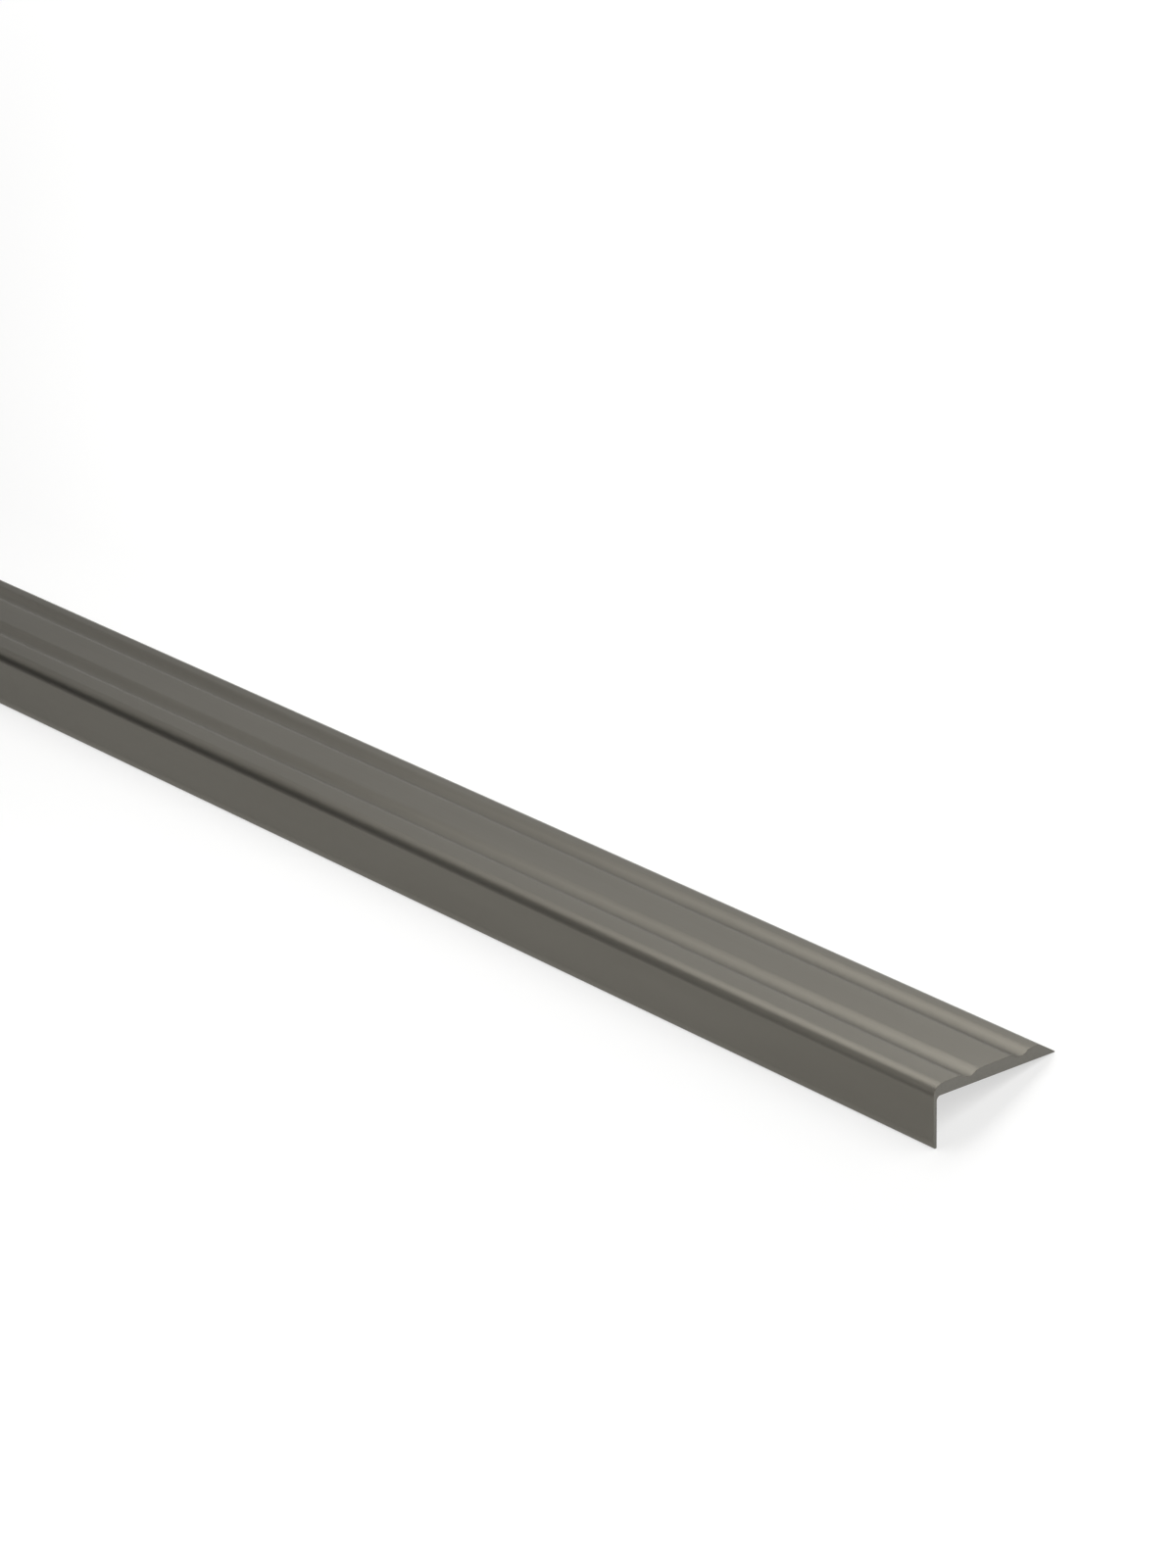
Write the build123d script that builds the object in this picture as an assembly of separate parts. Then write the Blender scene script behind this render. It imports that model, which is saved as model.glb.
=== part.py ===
from build123d import *

import os
from math import asin, atan, atan2, degrees, hypot, tan

# Extruded aluminium corner profile for a step or a floor edge, a metre of stock.
# The wide leg is the tread, with two shallow flutes and a feathered outer edge.
# The short leg hangs over the front of the step. All sizes are in millimetres.

# Overall sizes
stock_length = 1000.0
tread_width = 24.5
front_height = 10.3

# Walls and the rounds between them: the tread thickens a little from the nose to the crest of its feather
tread_thickness = 1.95
crest_thickness = 2.25
front_thickness = 0.7
nose_radius = 2.0
inner_fillet_radius = 0.7
toe_outer_radius = 0.3
toe_inner_radius = 0.12

# Eased lower end of the front face: it curves in towards the toe
ease_height = 0.8
ease_depth = 0.2
ease_radius = 3.8

# Flutes in the tread, their centres measured back from the front face
flute_width = 4.8
flute_depth = 0.72
inner_flute_centre = 7.1
outer_flute_centre = 17.45

# Feathered edge that eases the tread down to the floor behind it
feather_run = 3.3
feather_edge_thickness = 0.2
feather_crest_radius = 1.2
feather_edge_radius = 0.08

# Levels, the lean of the tread's top and limited rounds that follow from the sizes above
underside_level = front_height - tread_thickness
crest_level = underside_level + crest_thickness
top_lean = degrees(atan2(crest_level - front_height, tread_width - feather_run))
toe_thickness = front_thickness - ease_depth
toe_outer_round = min(toe_outer_radius, 0.7 * toe_thickness)
toe_inner_round = min(toe_inner_radius, 0.35 * toe_thickness)
ease_round = min(ease_radius, 0.6 * ease_height / tan(atan2(ease_depth, ease_height) / 2))
feather_edge_round = min(feather_edge_radius, 0.45 * feather_edge_thickness)


def bare_section():
    """Outline of both legs before the flutes: x runs back from the front face, y up from the toe."""
    corners = [
        ((ease_depth, 0), toe_outer_round),
        ((0, ease_height), ease_round),
        ((0, front_height), nose_radius),
        ((tread_width - feather_run, crest_level), feather_crest_radius),
        ((tread_width, underside_level + feather_edge_thickness), feather_edge_round),
        ((tread_width, underside_level), feather_edge_round),
        ((front_thickness, underside_level), inner_fillet_radius),
        ((front_thickness, 0), toe_inner_round),
    ]
    points = [point for point, radius in corners]
    radii = [radius for point, radius in corners]
    return make_face(FilletPolyline(*points, radius=radii, close=True))


def flute(centre):
    """Area that one flute takes out: each flank is an S of two equal arcs, along the top at the land and the bottom."""
    half_width = flute_width / 2
    radius = (half_width**2 + flute_depth**2) / (4 * flute_depth)
    turn = 2 * degrees(atan(flute_depth / half_width))
    start = (centre - half_width, front_height)
    entry = JernArc(start, (1, 0), radius, -turn)
    bottom = JernArc(entry @ 1, entry % 1, radius, 2 * turn)
    leave = JernArc(bottom @ 1, bottom % 1, radius, -turn)
    above = front_height + flute_depth
    lid = Polyline(leave @ 1, (centre + half_width, above), (centre - half_width, above), start)
    return make_face(entry + bottom + leave + lid).rotate(Axis((0, front_height, 0), (0, 0, 1)), top_lean)


def resting_tilt():
    """Turn about the length that lays the toe and the feathered edge on one level, tread up."""
    run = (tread_width - feather_edge_round) - (front_thickness - toe_inner_round)
    rise = (underside_level + feather_edge_round) - toe_inner_round
    return degrees(atan2(rise, run) + asin((toe_inner_round - feather_edge_round) / hypot(run, rise)))


def corner_profile():
    """The whole bar as it lies on a floor: length along X, front leg towards -Y, tread up."""
    section = bare_section() - flute(inner_flute_centre) - flute(outer_flute_centre)
    bar = extrude(Plane.YZ * section, stock_length)
    bar = bar.rotate(Axis.X, -resting_tilt())
    box = bar.bounding_box()
    return bar.translate((-box.center().X, -box.center().Y, -box.min.Z))


os.makedirs("parts", exist_ok=True)
bar = corner_profile()
bar.label = "corner_profile"
export_step(bar, "parts/corner_profile.step")
print("resting tilt", round(resting_tilt(), 3), "degrees, box", bar.bounding_box())
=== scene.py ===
from math import asin, atan, atan2, ceil, cos, hypot, pi, radians, sin, tan

import bmesh
import bpy
from bpy.props import FloatProperty, FloatVectorProperty, PointerProperty
from mathutils import Matrix, Vector


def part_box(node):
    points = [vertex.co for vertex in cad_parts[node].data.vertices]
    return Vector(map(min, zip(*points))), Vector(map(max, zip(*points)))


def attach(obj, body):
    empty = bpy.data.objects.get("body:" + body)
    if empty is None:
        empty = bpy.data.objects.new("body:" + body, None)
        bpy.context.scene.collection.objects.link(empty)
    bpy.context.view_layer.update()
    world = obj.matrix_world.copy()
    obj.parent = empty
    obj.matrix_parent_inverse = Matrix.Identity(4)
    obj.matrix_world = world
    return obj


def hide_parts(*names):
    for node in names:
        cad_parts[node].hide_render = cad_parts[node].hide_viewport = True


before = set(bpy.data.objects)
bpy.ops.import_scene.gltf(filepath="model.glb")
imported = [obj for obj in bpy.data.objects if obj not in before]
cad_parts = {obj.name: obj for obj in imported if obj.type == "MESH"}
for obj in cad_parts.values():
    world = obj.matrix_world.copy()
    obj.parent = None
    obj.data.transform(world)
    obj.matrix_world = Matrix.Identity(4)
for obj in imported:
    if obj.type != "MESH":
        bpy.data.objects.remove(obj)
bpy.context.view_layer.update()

bl_info = {
    "name": "Ribbed corner profile",
    "version": (1, 0, 0),
    "blender": (4, 5, 0),
    "location": "View3D > Sidebar > Corner profile",
    "description": "A metre of ribbed, anodised corner profile, lying on a pale floor in soft studio light",
    "category": "Object",
}

MM = 0.001
NODE = "corner_profile"
BODY = "root"
CAD_LOW, CAD_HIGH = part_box(NODE)

# Points closer than this are one, and faces that turn by less than this are shaded as one round
MERGE_DISTANCE = 0.002 * MM
SMOOTH_TURN = radians(25)

# Most of a noise pattern lies between these two values
NOISE_LOW = 0.3
NOISE_HIGH = 0.7

# A wave pattern at scale 1 turns by so many radians over a metre
WAVE_PACE = 20

# Axis of the saw blade that cut the ends, in metres from the middle of the bar's footprint
BLADE_CENTRE = Vector((0.0, -0.04, -0.118))

# The photograph's frame and focal length, and where the near end's outer lower corner stands in it, in pixels
FRAME_PIXELS = (1200, 1600)
FOCAL_PIXELS = 5500.0
CORNER_PIXEL = (952.3, 1173.1)

# Nearest and farthest that the camera sees, in metres
CAMERA_REACH = (0.05, 60.0)

# Softboxes: name, place, what it faces, width and height in metres, watts
LAMPS = (
    ("over_the_near_end", (0.8, 0.2, 0.3), (0.8, 0.2, 0.0), 0.4, 0.6, 2.7),
    ("over_the_bar", (0.3, 0.1, 0.3), (0.3, 0.1, 0.0), 0.2, 0.4, 1.05),
    ("over_the_far_end", (-0.5, 0.1, 0.4), (-0.5, 0.1, 0.0), 0.5, 0.5, 1.2),
    ("behind", (0.3, 0.35, 0.18), (0.5, 0.0, 0.0), 0.16, 0.2, 0.2),
    ("in_front", (0.36, -0.22, 0.18), (0.5, 0.0, 0.0), 0.14, 0.14, 0.14),
    ("low_far_strip", (-0.27, 0.6, 0.28), (0.5, 0.0, 0.0), 0.5, 0.5, 0.54),
)


def linear(hex_colour):
    """The linear RGBA of an sRGB colour written as #RRGGBB."""
    parts = [int(hex_colour[i:i + 2], 16) / 255 for i in (1, 3, 5)]
    return tuple(c / 12.92 if c <= 0.04045 else ((c + 0.055) / 1.055) ** 2.4 for c in parts) + (1.0,)


def length(name, description, millimetres):
    """A size in metres, given here in millimetres and never nought."""
    return FloatProperty(name=name, description=description, default=millimetres * MM, min=0.0001 * MM,
                         precision=5, subtype="DISTANCE", unit="LENGTH")


def angle(name, description, degrees):
    """An angle, given here in degrees."""
    return FloatProperty(name=name, description=description, default=radians(degrees), subtype="ANGLE",
                         unit="ROTATION")


def share(name, description, value):
    """A value from nought to one."""
    return FloatProperty(name=name, description=description, default=value, min=0.0, max=1.0,
                         subtype="FACTOR")


def colour(name, description, hex_colour):
    """A colour, given here as sRGB hex and kept linear."""
    return FloatVectorProperty(name=name, description=description, default=linear(hex_colour), size=4,
                               min=0.0, max=1.0, subtype="COLOR")


class ProfileSizes(bpy.types.PropertyGroup):
    """Sizes of the extruded section, as the die that makes it has them."""

    tread_width: length("Tread width", "Wide leg, from the front face to the feathered edge", 24.5)
    front_height: length("Front height", "Short leg, from the toe to the top of the tread", 10.3)
    tread_thickness: length("Tread thickness", "Wide leg by the nose", 1.95)
    crest_thickness: length("Crest thickness", "Wide leg where the feather starts", 2.25)
    front_thickness: length("Front thickness", "Wall of the short leg", 0.7)
    nose_radius: length("Nose radius", "Round where the front face turns into the tread", 2.0)
    inner_fillet_radius: length("Inner fillet radius", "Round in the inner angle", 0.7)
    toe_outer_radius: length("Toe outer radius", "Round on the outer lower edge of the short leg", 0.3)
    toe_inner_radius: length("Toe inner radius", "Round on the inner lower edge of the short leg", 0.12)
    ease_height: length("Ease height", "Lower end of the front face that curves in towards the toe", 0.8)
    ease_depth: length("Ease depth", "How far the front face has curved in at the toe", 0.2)
    ease_radius: length("Ease radius", "Curve of the eased front face", 3.8)
    flute_width: length("Flute width", "One flute from land to land", 4.8)
    flute_depth: length("Flute depth", "Bottom of a flute below the lands", 0.72)
    inner_flute_centre: length("Inner flute centre", "From the front face to the flute by the nose", 7.1)
    outer_flute_centre: length("Outer flute centre", "From the front face to the other flute", 17.45)
    feather_run: length("Feather run", "Width over which the tread thins out to its outer edge", 3.3)
    feather_edge_thickness: length("Feather edge thickness", "Tread at its outer edge", 0.2)
    feather_crest_radius: length("Feather crest radius", "Round where the feather starts", 1.2)
    feather_edge_radius: length("Feather edge radius", "Rounds on the outer edge", 0.08)
    end_deburr: length("End deburr", "Edge broken on the sawn ends", 0.06)
    round_step: FloatProperty(name="Round step", description="Turn of one facet in a round",
                              default=radians(2.5), min=radians(0.5), max=radians(15), subtype="ANGLE",
                              unit="ROTATION")


class ProfileFinish(bpy.types.PropertyGroup):
    """Colours, gloss and fine relief of the bar."""

    anodised_light: colour("Anodised, light", "Lighter tone of the anodised skin", "#76736B")
    anodised_dark: colour("Anodised, dark", "Darker tone of the anodised skin", "#706D65")
    tone_run: length("Tone run", "Stretch along the bar over which its tone drifts", 62.5)
    tone_width: length("Tone width", "Width over which its tone drifts", 8.333)
    roughness: share("Skin roughness", "Mean roughness of the satin anodised skin", 0.48)
    roughness_spread: share("Skin roughness spread", "Change of the skin's roughness either way", 0.02)
    die_line_run: length("Die line run", "Length over which one die line turns into the next", 500.0)
    die_line_spacing: length("Die line spacing", "Between the lines that the die leaves along the bar", 0.5)
    die_line_depth: length("Die line depth", "Relief of the die lines", 0.002)
    grain_size: length("Grain size", "Etched grain of the skin", 0.125)
    grain_depth: length("Grain depth", "Relief of the etched grain", 0.0006)
    sawn: colour("Sawn end", "Metal of the sawn ends", "#76746E")
    sawn_roughness: share("Sawn roughness", "Mean roughness of the sawn ends", 0.44)
    sawn_roughness_spread: share("Sawn roughness spread", "Change of the ends' roughness either way", 0.06)
    sawn_grain_size: length("Sawn grain size", "Grain of the sawn ends", 0.333)
    saw_mark_spacing: length("Saw mark spacing", "Between the arcs that the blade leaves", 0.35)
    saw_mark_depth: length("Saw mark depth", "Relief of the blade's arcs", 0.003)


class StudioSettings(bpy.types.PropertyGroup):
    """Camera, lamps and floor."""

    azimuth: angle("Camera azimuth", "From the tread's width towards the cut end", 51.37)
    elevation: angle("Camera elevation", "Over the tread's own plane", 21.58)
    roll: angle("Camera roll", "Right side of the picture lowered", 1.24)
    depth: length("Camera depth", "From the camera to the near end, along its line of sight", 793.1)
    floor_width: length("Floor width", "Side of the square floor", 30000.0)
    floor_colour: colour("Floor colour", "Matt pale board that the bar lies on", "#9F9F9E")
    floor_glow: share("Floor glow", "White that the eye and the metal see by the bar", 0.61)
    fade_start: length("Fade start", "From the bar's middle to where the floor starts to turn white", 30.0)
    fade_end: length("Fade end", "From the bar's middle to where the floor is plain white", 300.0)
    lamp_level: FloatProperty(name="Lamp level", description="Scales every lamp", default=1.0, min=0.0,
                              max=10.0)
    world_level: share("World level", "Light from all round", 0.03)


def resting_tilt(sizes):
    """Turn about the length that lays the toe and the feathered edge on one level."""
    underside = sizes.front_height - sizes.tread_thickness
    toe, edge = sizes.toe_inner_radius, sizes.feather_edge_radius
    run = (sizes.tread_width - edge) - (sizes.front_thickness - toe)
    rise = (underside + edge) - toe
    return atan2(rise, run) + asin((toe - edge) / hypot(run, rise))


def lying(sizes, back, up):
    """Direction in the frame of one in the upright section: back from the front face, up from the toe."""
    tilt = resting_tilt(sizes)
    return Vector((0.0, back * cos(tilt) + up * sin(tilt), up * cos(tilt) - back * sin(tilt)))


def toe_centre(sizes):
    """How far back from the front face the centre of the toe's outer round is."""
    taper = atan2(sizes.ease_depth, sizes.ease_height)
    return sizes.ease_depth + sizes.toe_outer_radius * (1 - sin(taper)) / cos(taper)


def section_point(sizes, back, up):
    """Place in the frame of a point of the upright section, in the plane across the middle of the bar."""
    toe_outer, toe_inner = sizes.toe_outer_radius, sizes.toe_inner_radius
    front_most = lying(sizes, toe_centre(sizes), toe_outer).y - toe_outer
    lowest = lying(sizes, sizes.front_thickness - toe_inner, toe_inner).z - toe_inner
    return lying(sizes, back, up) + Vector((0.0, CAD_LOW.y - front_most, CAD_LOW.z - lowest))


def select_edges(bar, wanted):
    """Selects only the edges of the mesh in edit mode whose two ends pass the test."""
    bpy.ops.mesh.select_all(action="DESELECT")
    mesh = bmesh.from_edit_mesh(bar.data)
    for edge in mesh.edges:
        if all(wanted(vertex.co, edge) for vertex in edge.verts):
            edge.select_set(True)
    bmesh.update_edit_mesh(bar.data)


class SectionPen:
    """Carries the open long edge of the bar round its section: flats are extruded and rounds are spun."""

    def __init__(self, point, heading, step):
        self.point = point
        self.heading = heading
        self.step = step

    def flat(self, distance):
        """Extrudes the edge straight on."""
        move = Vector((0.0, cos(self.heading), sin(self.heading))) * distance
        bpy.ops.mesh.extrude_region_move(TRANSFORM_OT_translate={"value": move})
        self.point = self.point + move

    def round(self, radius, turn):
        """Spins the edge; a left turn is positive, seen from +X with the section's back to the right."""
        side = 1 if turn > 0 else -1
        leftwards = Vector((0.0, -sin(self.heading), cos(self.heading)))
        centre = self.point + leftwards * radius * side
        steps = max(4, ceil(abs(turn) / self.step))
        # Spin turns clockwise about its axis, so the axis points to -X
        bpy.ops.mesh.spin(steps=steps, angle=turn, center=centre, axis=(-1.0, 0.0, 0.0))
        self.point = centre + Matrix.Rotation(turn, 3, "X") @ (self.point - centre)
        self.heading += turn

    def flute(self, width, depth):
        """One S of two equal arcs down, and one up."""
        half = width / 2
        radius = (half**2 + depth**2) / (4 * depth)
        turn = 2 * atan(depth / half)
        self.round(radius, -turn)
        self.round(radius, 2 * turn)
        self.round(radius, -turn)


def draw_skin(sizes):
    """The bar's whole skin between its ends, drawn from the flat of its front face round to it again."""
    tilt = resting_tilt(sizes)
    right = pi / 2
    rise = sizes.crest_thickness - sizes.tread_thickness
    crest_back = sizes.tread_width - sizes.feather_run
    lean = atan2(rise, crest_back)
    nose = sizes.nose_radius * tan((right - lean) / 2)
    taper = atan2(sizes.ease_depth, sizes.ease_height)
    ease = sizes.ease_radius * tan(taper / 2)
    flat_top = sizes.front_height - nose
    flat_height = flat_top - sizes.ease_height - ease
    middle = section_point(sizes, 0.0, flat_top - flat_height / 2)
    bpy.ops.mesh.primitive_plane_add(size=1.0, location=middle, rotation=(right - tilt, 0.0, 0.0))
    bar = bpy.context.object
    bar.name = bar.data.name = "bar"
    bar.scale = (CAD_HIGH.x - CAD_LOW.x, flat_height, 1.0)
    bpy.ops.object.transform_apply(location=True, rotation=True, scale=True)
    bpy.ops.object.mode_set(mode="EDIT")
    bpy.ops.mesh.select_mode(type="EDGE")
    select_edges(bar, lambda place, edge: (place - middle).z > 0)

    slope = atan((sizes.crest_thickness - sizes.feather_edge_thickness) / sizes.feather_run)
    crest = sizes.feather_crest_radius * tan((slope + lean) / 2)
    edge = sizes.feather_edge_radius
    edge_top = edge * tan((right - slope) / 2)
    feather = hypot(sizes.feather_run, sizes.crest_thickness - sizes.feather_edge_thickness)
    toe = sizes.toe_outer_radius * tan((right - taper) / 2)
    half_flute = sizes.flute_width / 2
    underside = sizes.front_height - sizes.tread_thickness

    pen = SectionPen(section_point(sizes, 0.0, flat_top), right - tilt, sizes.round_step)
    pen.round(sizes.nose_radius, lean - right)
    pen.flat(sizes.inner_flute_centre - half_flute - nose)
    pen.flute(sizes.flute_width, sizes.flute_depth)
    pen.flat(sizes.outer_flute_centre - sizes.inner_flute_centre - sizes.flute_width)
    pen.flute(sizes.flute_width, sizes.flute_depth)
    pen.flat(hypot(crest_back, rise) - crest - sizes.outer_flute_centre - half_flute)
    pen.round(sizes.feather_crest_radius, -slope - lean)
    pen.flat(feather - crest - edge_top)
    pen.round(edge, slope - right)
    pen.flat(sizes.feather_edge_thickness - edge_top - edge)
    pen.round(edge, -right)
    pen.flat(sizes.tread_width - edge - sizes.front_thickness - sizes.inner_fillet_radius)
    pen.round(sizes.inner_fillet_radius, right)
    pen.flat(underside - sizes.inner_fillet_radius - sizes.toe_inner_radius)
    pen.round(sizes.toe_inner_radius, -right)
    pen.flat(sizes.front_thickness - sizes.toe_inner_radius - toe_centre(sizes))
    pen.round(sizes.toe_outer_radius, taper - right)
    pen.flat(hypot(sizes.ease_depth, sizes.ease_height) - toe - ease)
    pen.round(sizes.ease_radius, -taper)
    bpy.ops.mesh.select_all(action="SELECT")
    bpy.ops.mesh.remove_doubles(threshold=MERGE_DISTANCE)
    return bar


def close_ends(bar):
    """Fills the section at both ends, in the sawn material."""
    for side in (-1, 1):
        select_edges(bar, lambda place, edge: place.x * side > 0 and edge.is_boundary)
        bpy.ops.mesh.edge_face_add()
        bar.active_material_index = 1
        bpy.ops.object.material_slot_assign()


def break_end_edges(bar, width):
    """Takes the sharp edge off both sawn ends."""
    select_edges(bar, lambda place, edge: abs(edge.verts[0].co.x - edge.verts[1].co.x) < MM)
    bpy.ops.mesh.bevel(offset=width, segments=2, profile=0.5, affect="EDGES", material=0)


def add_node(tree, kind, settings=(), sockets=()):
    """Adds a node with its settings, and gives its sockets a value or a link from another node's socket."""
    node = tree.nodes.new(kind)
    for name, value in dict(settings).items():
        setattr(node, name, value)
    for name, value in dict(sockets).items():
        if isinstance(value, bpy.types.NodeSocket):
            tree.links.new(value, node.inputs[name])
        else:
            node.inputs[name].default_value = value
    return node


def new_material(name):
    """An empty node material and its tree."""
    material = bpy.data.materials.new(name)
    material.use_nodes = True
    material.node_tree.nodes.clear()
    return material, material.node_tree


def scales(*sizes):
    """How often a pattern repeats over a metre along each axis, from its size along each in metres."""
    return tuple(1 / size for size in sizes)


def satin_anodised_aluminium(finish):
    """Extruded aluminium, etched matt and anodised to a titanium tone.

    The eye sees an even, soft metal: broad lights that fade along the bar, hardly visible die lines along it,
    and a tone that shifts by a hair from one stretch to the next.
    """
    material, tree = new_material("satin_anodised_aluminium")
    place = add_node(tree, "ShaderNodeTexCoord").outputs["Object"]
    # Die lines are drawn at twice their real spacing, so that a few show
    drawn = add_node(tree, "ShaderNodeMapping", sockets={
        "Vector": place,
        "Scale": scales(finish.die_line_run, finish.die_line_spacing, finish.die_line_spacing)})
    lines = add_node(tree, "ShaderNodeTexNoise", sockets={
        "Vector": drawn.outputs["Vector"], "Scale": 1.0, "Detail": 2.0, "Roughness": 0.6})
    stretched = add_node(tree, "ShaderNodeMapping", sockets={
        "Vector": place, "Scale": scales(finish.tone_run, finish.tone_width, finish.tone_width)})
    drift = add_node(tree, "ShaderNodeTexNoise", sockets={
        "Vector": stretched.outputs["Vector"], "Scale": 1.0, "Detail": 2.0, "Roughness": 0.5})
    grain = add_node(tree, "ShaderNodeTexNoise", sockets={
        "Vector": place, "Scale": 1 / finish.grain_size, "Detail": 1.0, "Roughness": 0.5})
    # The tone follows the drift, with two fifths as much from the die lines
    tone = add_node(tree, "ShaderNodeMath", {"operation": "MULTIPLY_ADD"},
                    {0: lines.outputs["Fac"], 1: 0.4, 2: drift.outputs["Fac"]})
    tone_part = add_node(tree, "ShaderNodeMapRange", sockets={
        "Value": tone.outputs[0], "From Min": 0.45, "From Max": 0.95})
    skin = add_node(tree, "ShaderNodeMix", {"data_type": "RGBA"}, {
        "Factor": tone_part.outputs["Result"], 6: tuple(finish.anodised_dark),
        7: tuple(finish.anodised_light)})
    gloss = add_node(tree, "ShaderNodeMapRange", sockets={
        "Value": lines.outputs["Fac"], "From Min": NOISE_LOW, "From Max": NOISE_HIGH,
        "To Min": finish.roughness - finish.roughness_spread,
        "To Max": finish.roughness + finish.roughness_spread})
    lined = add_node(tree, "ShaderNodeBump", sockets={
        "Strength": 1.0, "Distance": finish.die_line_depth, "Height": lines.outputs["Fac"]})
    etched = add_node(tree, "ShaderNodeBump", sockets={
        "Strength": 1.0, "Distance": finish.grain_depth, "Height": grain.outputs["Fac"],
        "Normal": lined.outputs["Normal"]})
    shader = add_node(tree, "ShaderNodeBsdfPrincipled", sockets={
        "Base Color": skin.outputs[2], "Metallic": 1.0, "Roughness": gloss.outputs["Result"],
        "Normal": etched.outputs["Normal"]})
    add_node(tree, "ShaderNodeOutputMaterial", sockets={"Surface": shader.outputs["BSDF"]})
    return material


def sawn_aluminium(finish):
    """Bare aluminium cut square by a circular saw: duller than the skin, with the blade's fine arcs."""
    material, tree = new_material("sawn_aluminium")
    place = add_node(tree, "ShaderNodeTexCoord").outputs["Object"]
    # The blade's arcs are drawn further apart than real, so that they show
    blade = add_node(tree, "ShaderNodeMapping", sockets={"Vector": place, "Location": -BLADE_CENTRE})
    marks = add_node(tree, "ShaderNodeTexWave", {"wave_type": "RINGS", "rings_direction": "X"}, {
        "Vector": blade.outputs["Vector"], "Scale": 2 * pi / (WAVE_PACE * finish.saw_mark_spacing),
        "Distortion": 1.5, "Detail": 2.0, "Detail Scale": 0.5})
    grain = add_node(tree, "ShaderNodeTexNoise", sockets={
        "Vector": place, "Scale": 1 / finish.sawn_grain_size, "Detail": 2.0})
    gloss = add_node(tree, "ShaderNodeMapRange", sockets={
        "Value": grain.outputs["Fac"], "From Min": NOISE_LOW, "From Max": NOISE_HIGH,
        "To Min": finish.sawn_roughness - finish.sawn_roughness_spread,
        "To Max": finish.sawn_roughness + finish.sawn_roughness_spread})
    cut = add_node(tree, "ShaderNodeBump", sockets={
        "Strength": 1.0, "Distance": finish.saw_mark_depth, "Height": marks.outputs["Fac"]})
    shader = add_node(tree, "ShaderNodeBsdfPrincipled", sockets={
        "Base Color": tuple(finish.sawn), "Metallic": 1.0, "Roughness": gloss.outputs["Result"],
        "Normal": cut.outputs["Normal"]})
    add_node(tree, "ShaderNodeOutputMaterial", sockets={"Surface": shader.outputs["BSDF"]})
    return material


def matt_pale_board(studio):
    """Painted board that takes the bar's shadow.

    The eye and the metal see it fade to plain white away from the bar.
    """
    material, tree = new_material("matt_pale_board")
    place = add_node(tree, "ShaderNodeTexCoord").outputs["Object"]
    across = add_node(tree, "ShaderNodeSeparateXYZ", sockets={"Vector": place}).outputs["Y"]
    away = add_node(tree, "ShaderNodeMath", {"operation": "ABSOLUTE"}, {0: across})
    white = add_node(tree, "ShaderNodeMapRange", sockets={
        "Value": away.outputs[0], "From Min": studio.fade_start, "From Max": studio.fade_end,
        "To Min": studio.floor_glow, "To Max": 1.0})
    rays = add_node(tree, "ShaderNodeLightPath")
    seen = add_node(tree, "ShaderNodeMath", {"operation": "MAXIMUM"},
                    {0: rays.outputs["Is Camera Ray"], 1: rays.outputs["Is Glossy Ray"]})
    seen_any = add_node(tree, "ShaderNodeMath", {"operation": "MAXIMUM"},
                        {0: seen.outputs[0], 1: rays.outputs["Is Transmission Ray"]})
    glow = add_node(tree, "ShaderNodeMath", {"operation": "MULTIPLY"},
                    {0: seen_any.outputs[0], 1: white.outputs["Result"]})
    board = add_node(tree, "ShaderNodeBsdfPrincipled", sockets={
        "Base Color": tuple(studio.floor_colour), "Roughness": 0.9, "Specular IOR Level": 0.0,
        "Emission Color": (1.0, 1.0, 1.0, 1.0), "Emission Strength": glow.outputs[0]})
    add_node(tree, "ShaderNodeOutputMaterial", sockets={"Surface": board.outputs["BSDF"]})
    return material


class CORNER_PROFILE_OT_add_bar(bpy.types.Operator):
    """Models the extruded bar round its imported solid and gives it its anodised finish"""

    bl_idname = "corner_profile.add_bar"
    bl_label = "Add the bar"
    bl_options = {"REGISTER", "UNDO"}

    def execute(self, context):
        sizes = context.scene.profile_sizes
        finish = context.scene.profile_finish
        bpy.ops.object.select_all(action="DESELECT")
        bar = draw_skin(sizes)
        bar.data.materials.append(satin_anodised_aluminium(finish))
        bar.data.materials.append(sawn_aluminium(finish))
        close_ends(bar)
        break_end_edges(bar, sizes.end_deburr)
        bpy.ops.mesh.select_all(action="SELECT")
        bpy.ops.mesh.normals_make_consistent(inside=False)
        bpy.ops.object.mode_set(mode="OBJECT")
        bpy.ops.object.shade_smooth_by_angle(angle=SMOOTH_TURN)
        flats_first = bar.modifiers.new("flats_first", "WEIGHTED_NORMAL")
        flats_first.keep_sharp = True
        bpy.ops.object.modifier_apply(modifier=flats_first.name)
        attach(bar, BODY)
        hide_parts(NODE)
        return {"FINISHED"}


def near_corner(sizes):
    """Outer lower corner of the near sawn end, where the camera's framing is measured from."""
    return section_point(sizes, 0.0, 0.0) + Vector((CAD_HIGH.x, 0.0, 0.0))


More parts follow.
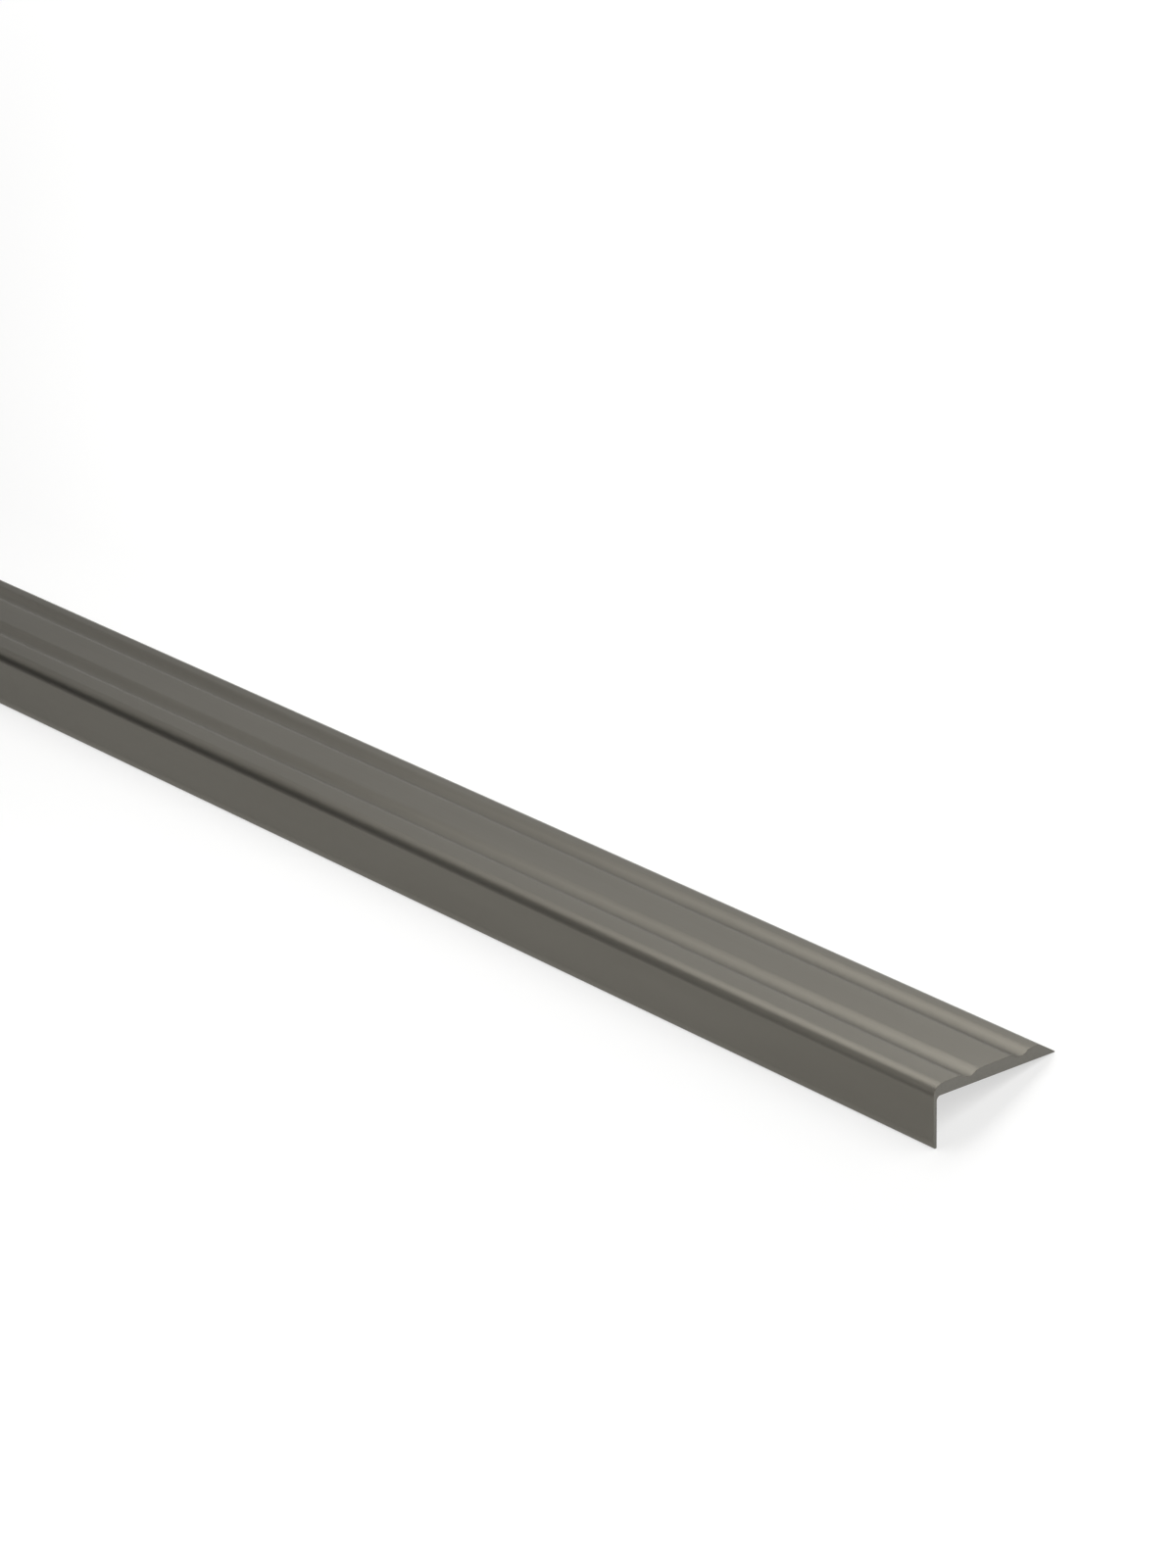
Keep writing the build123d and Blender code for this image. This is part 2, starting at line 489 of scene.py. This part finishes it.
def add_camera(sizes, studio):
    """The photograph's view: turned by the bar's own section, so it leans with the bar as it lies."""
    across, over, roll = studio.azimuth, studio.elevation, studio.roll
    ahead = Vector((-cos(over) * sin(across), 0, 0)) + lying(sizes, cos(over) * cos(across), -sin(over))
    level = Vector((cos(across), 0, 0)) + lying(sizes, sin(across), 0)
    plumb = Vector((sin(over) * sin(across), 0, 0)) + lying(sizes, -sin(over) * cos(across), -cos(over))
    right = level * cos(roll) + plumb * sin(roll)
    down = plumb * cos(roll) - level * sin(roll)
    aim = right * ((CORNER_PIXEL[0] - FRAME_PIXELS[0] / 2) / FOCAL_PIXELS)
    aim += down * ((CORNER_PIXEL[1] - FRAME_PIXELS[1] / 2) / FOCAL_PIXELS)
    bpy.ops.object.camera_add()
    camera = bpy.context.object
    camera.name = "camera"
    camera.data.lens = camera.data.sensor_width * FOCAL_PIXELS / FRAME_PIXELS[1]
    camera.data.clip_start, camera.data.clip_end = CAMERA_REACH
    turn = Matrix((right, -down, -ahead)).transposed().to_4x4()
    camera.matrix_world = Matrix.Translation(near_corner(sizes) - (ahead + aim) * studio.depth) @ turn
    bpy.context.scene.camera = camera


def add_lamp(name, place, faced, width, height, watts):
    """A softbox that faces a point, unseen by the camera."""
    bpy.ops.object.light_add(type="AREA", location=place)
    lamp = bpy.context.object
    lamp.name = lamp.data.name = name
    lamp.rotation_euler = (Vector(place) - Vector(faced)).to_track_quat("Z", "Y").to_euler()
    lamp.data.shape = "RECTANGLE"
    lamp.data.size, lamp.data.size_y = width, height
    lamp.data.energy = watts
    lamp.visible_camera = False


class CORNER_PROFILE_OT_add_studio(bpy.types.Operator):
    """Adds the pale floor, the soft lamps, the light from all round and the camera"""

    bl_idname = "corner_profile.add_studio"
    bl_label = "Add the studio"
    bl_options = {"REGISTER", "UNDO"}

    def execute(self, context):
        sizes = context.scene.profile_sizes
        studio = context.scene.profile_studio
        bpy.ops.object.select_all(action="DESELECT")
        bpy.ops.mesh.primitive_plane_add(size=studio.floor_width)
        floor = context.object
        floor.name = floor.data.name = "floor"
        floor.data.materials.append(matt_pale_board(studio))
        world = bpy.data.worlds.new("studio")
        world.use_nodes = True
        world.node_tree.nodes["Background"].inputs["Color"].default_value = (1.0, 1.0, 1.0, 1.0)
        world.node_tree.nodes["Background"].inputs["Strength"].default_value = studio.world_level
        context.scene.world = world
        for name, place, faced, width, height, watts in LAMPS:
            add_lamp(name, place, faced, width, height, watts * studio.lamp_level)
        add_camera(sizes, studio)
        context.scene.view_settings.view_transform = "Standard"
        return {"FINISHED"}


class CORNER_PROFILE_PT_panel(bpy.types.Panel):
    """Lists the sizes, the finish, the studio and the buttons that add them"""

    bl_label = "Corner profile"
    bl_idname = "CORNER_PROFILE_PT_panel"
    bl_space_type = "VIEW_3D"
    bl_region_type = "UI"
    bl_category = "Corner profile"

    def draw(self, context):
        scene = context.scene
        for heading, group in (("Section", scene.profile_sizes), ("Finish", scene.profile_finish),
                               ("Studio", scene.profile_studio)):
            box = self.layout.box()
            box.label(text=heading)
            for name in group.__annotations__:
                box.prop(group, name)
        self.layout.operator(CORNER_PROFILE_OT_add_bar.bl_idname)
        self.layout.operator(CORNER_PROFILE_OT_add_studio.bl_idname)


CLASSES = (
    ProfileSizes,
    ProfileFinish,
    StudioSettings,
    CORNER_PROFILE_OT_add_bar,
    CORNER_PROFILE_OT_add_studio,
    CORNER_PROFILE_PT_panel,
)


def register():
    for cls in CLASSES:
        bpy.utils.register_class(cls)
    bpy.types.Scene.profile_sizes = PointerProperty(type=ProfileSizes)
    bpy.types.Scene.profile_finish = PointerProperty(type=ProfileFinish)
    bpy.types.Scene.profile_studio = PointerProperty(type=StudioSettings)


def unregister():
    del bpy.types.Scene.profile_studio
    del bpy.types.Scene.profile_finish
    del bpy.types.Scene.profile_sizes
    for cls in reversed(CLASSES):
        bpy.utils.unregister_class(cls)


def main():
    register()
    bpy.ops.corner_profile.add_bar()
    bpy.ops.corner_profile.add_studio()


if __name__ == "__main__":
    main()
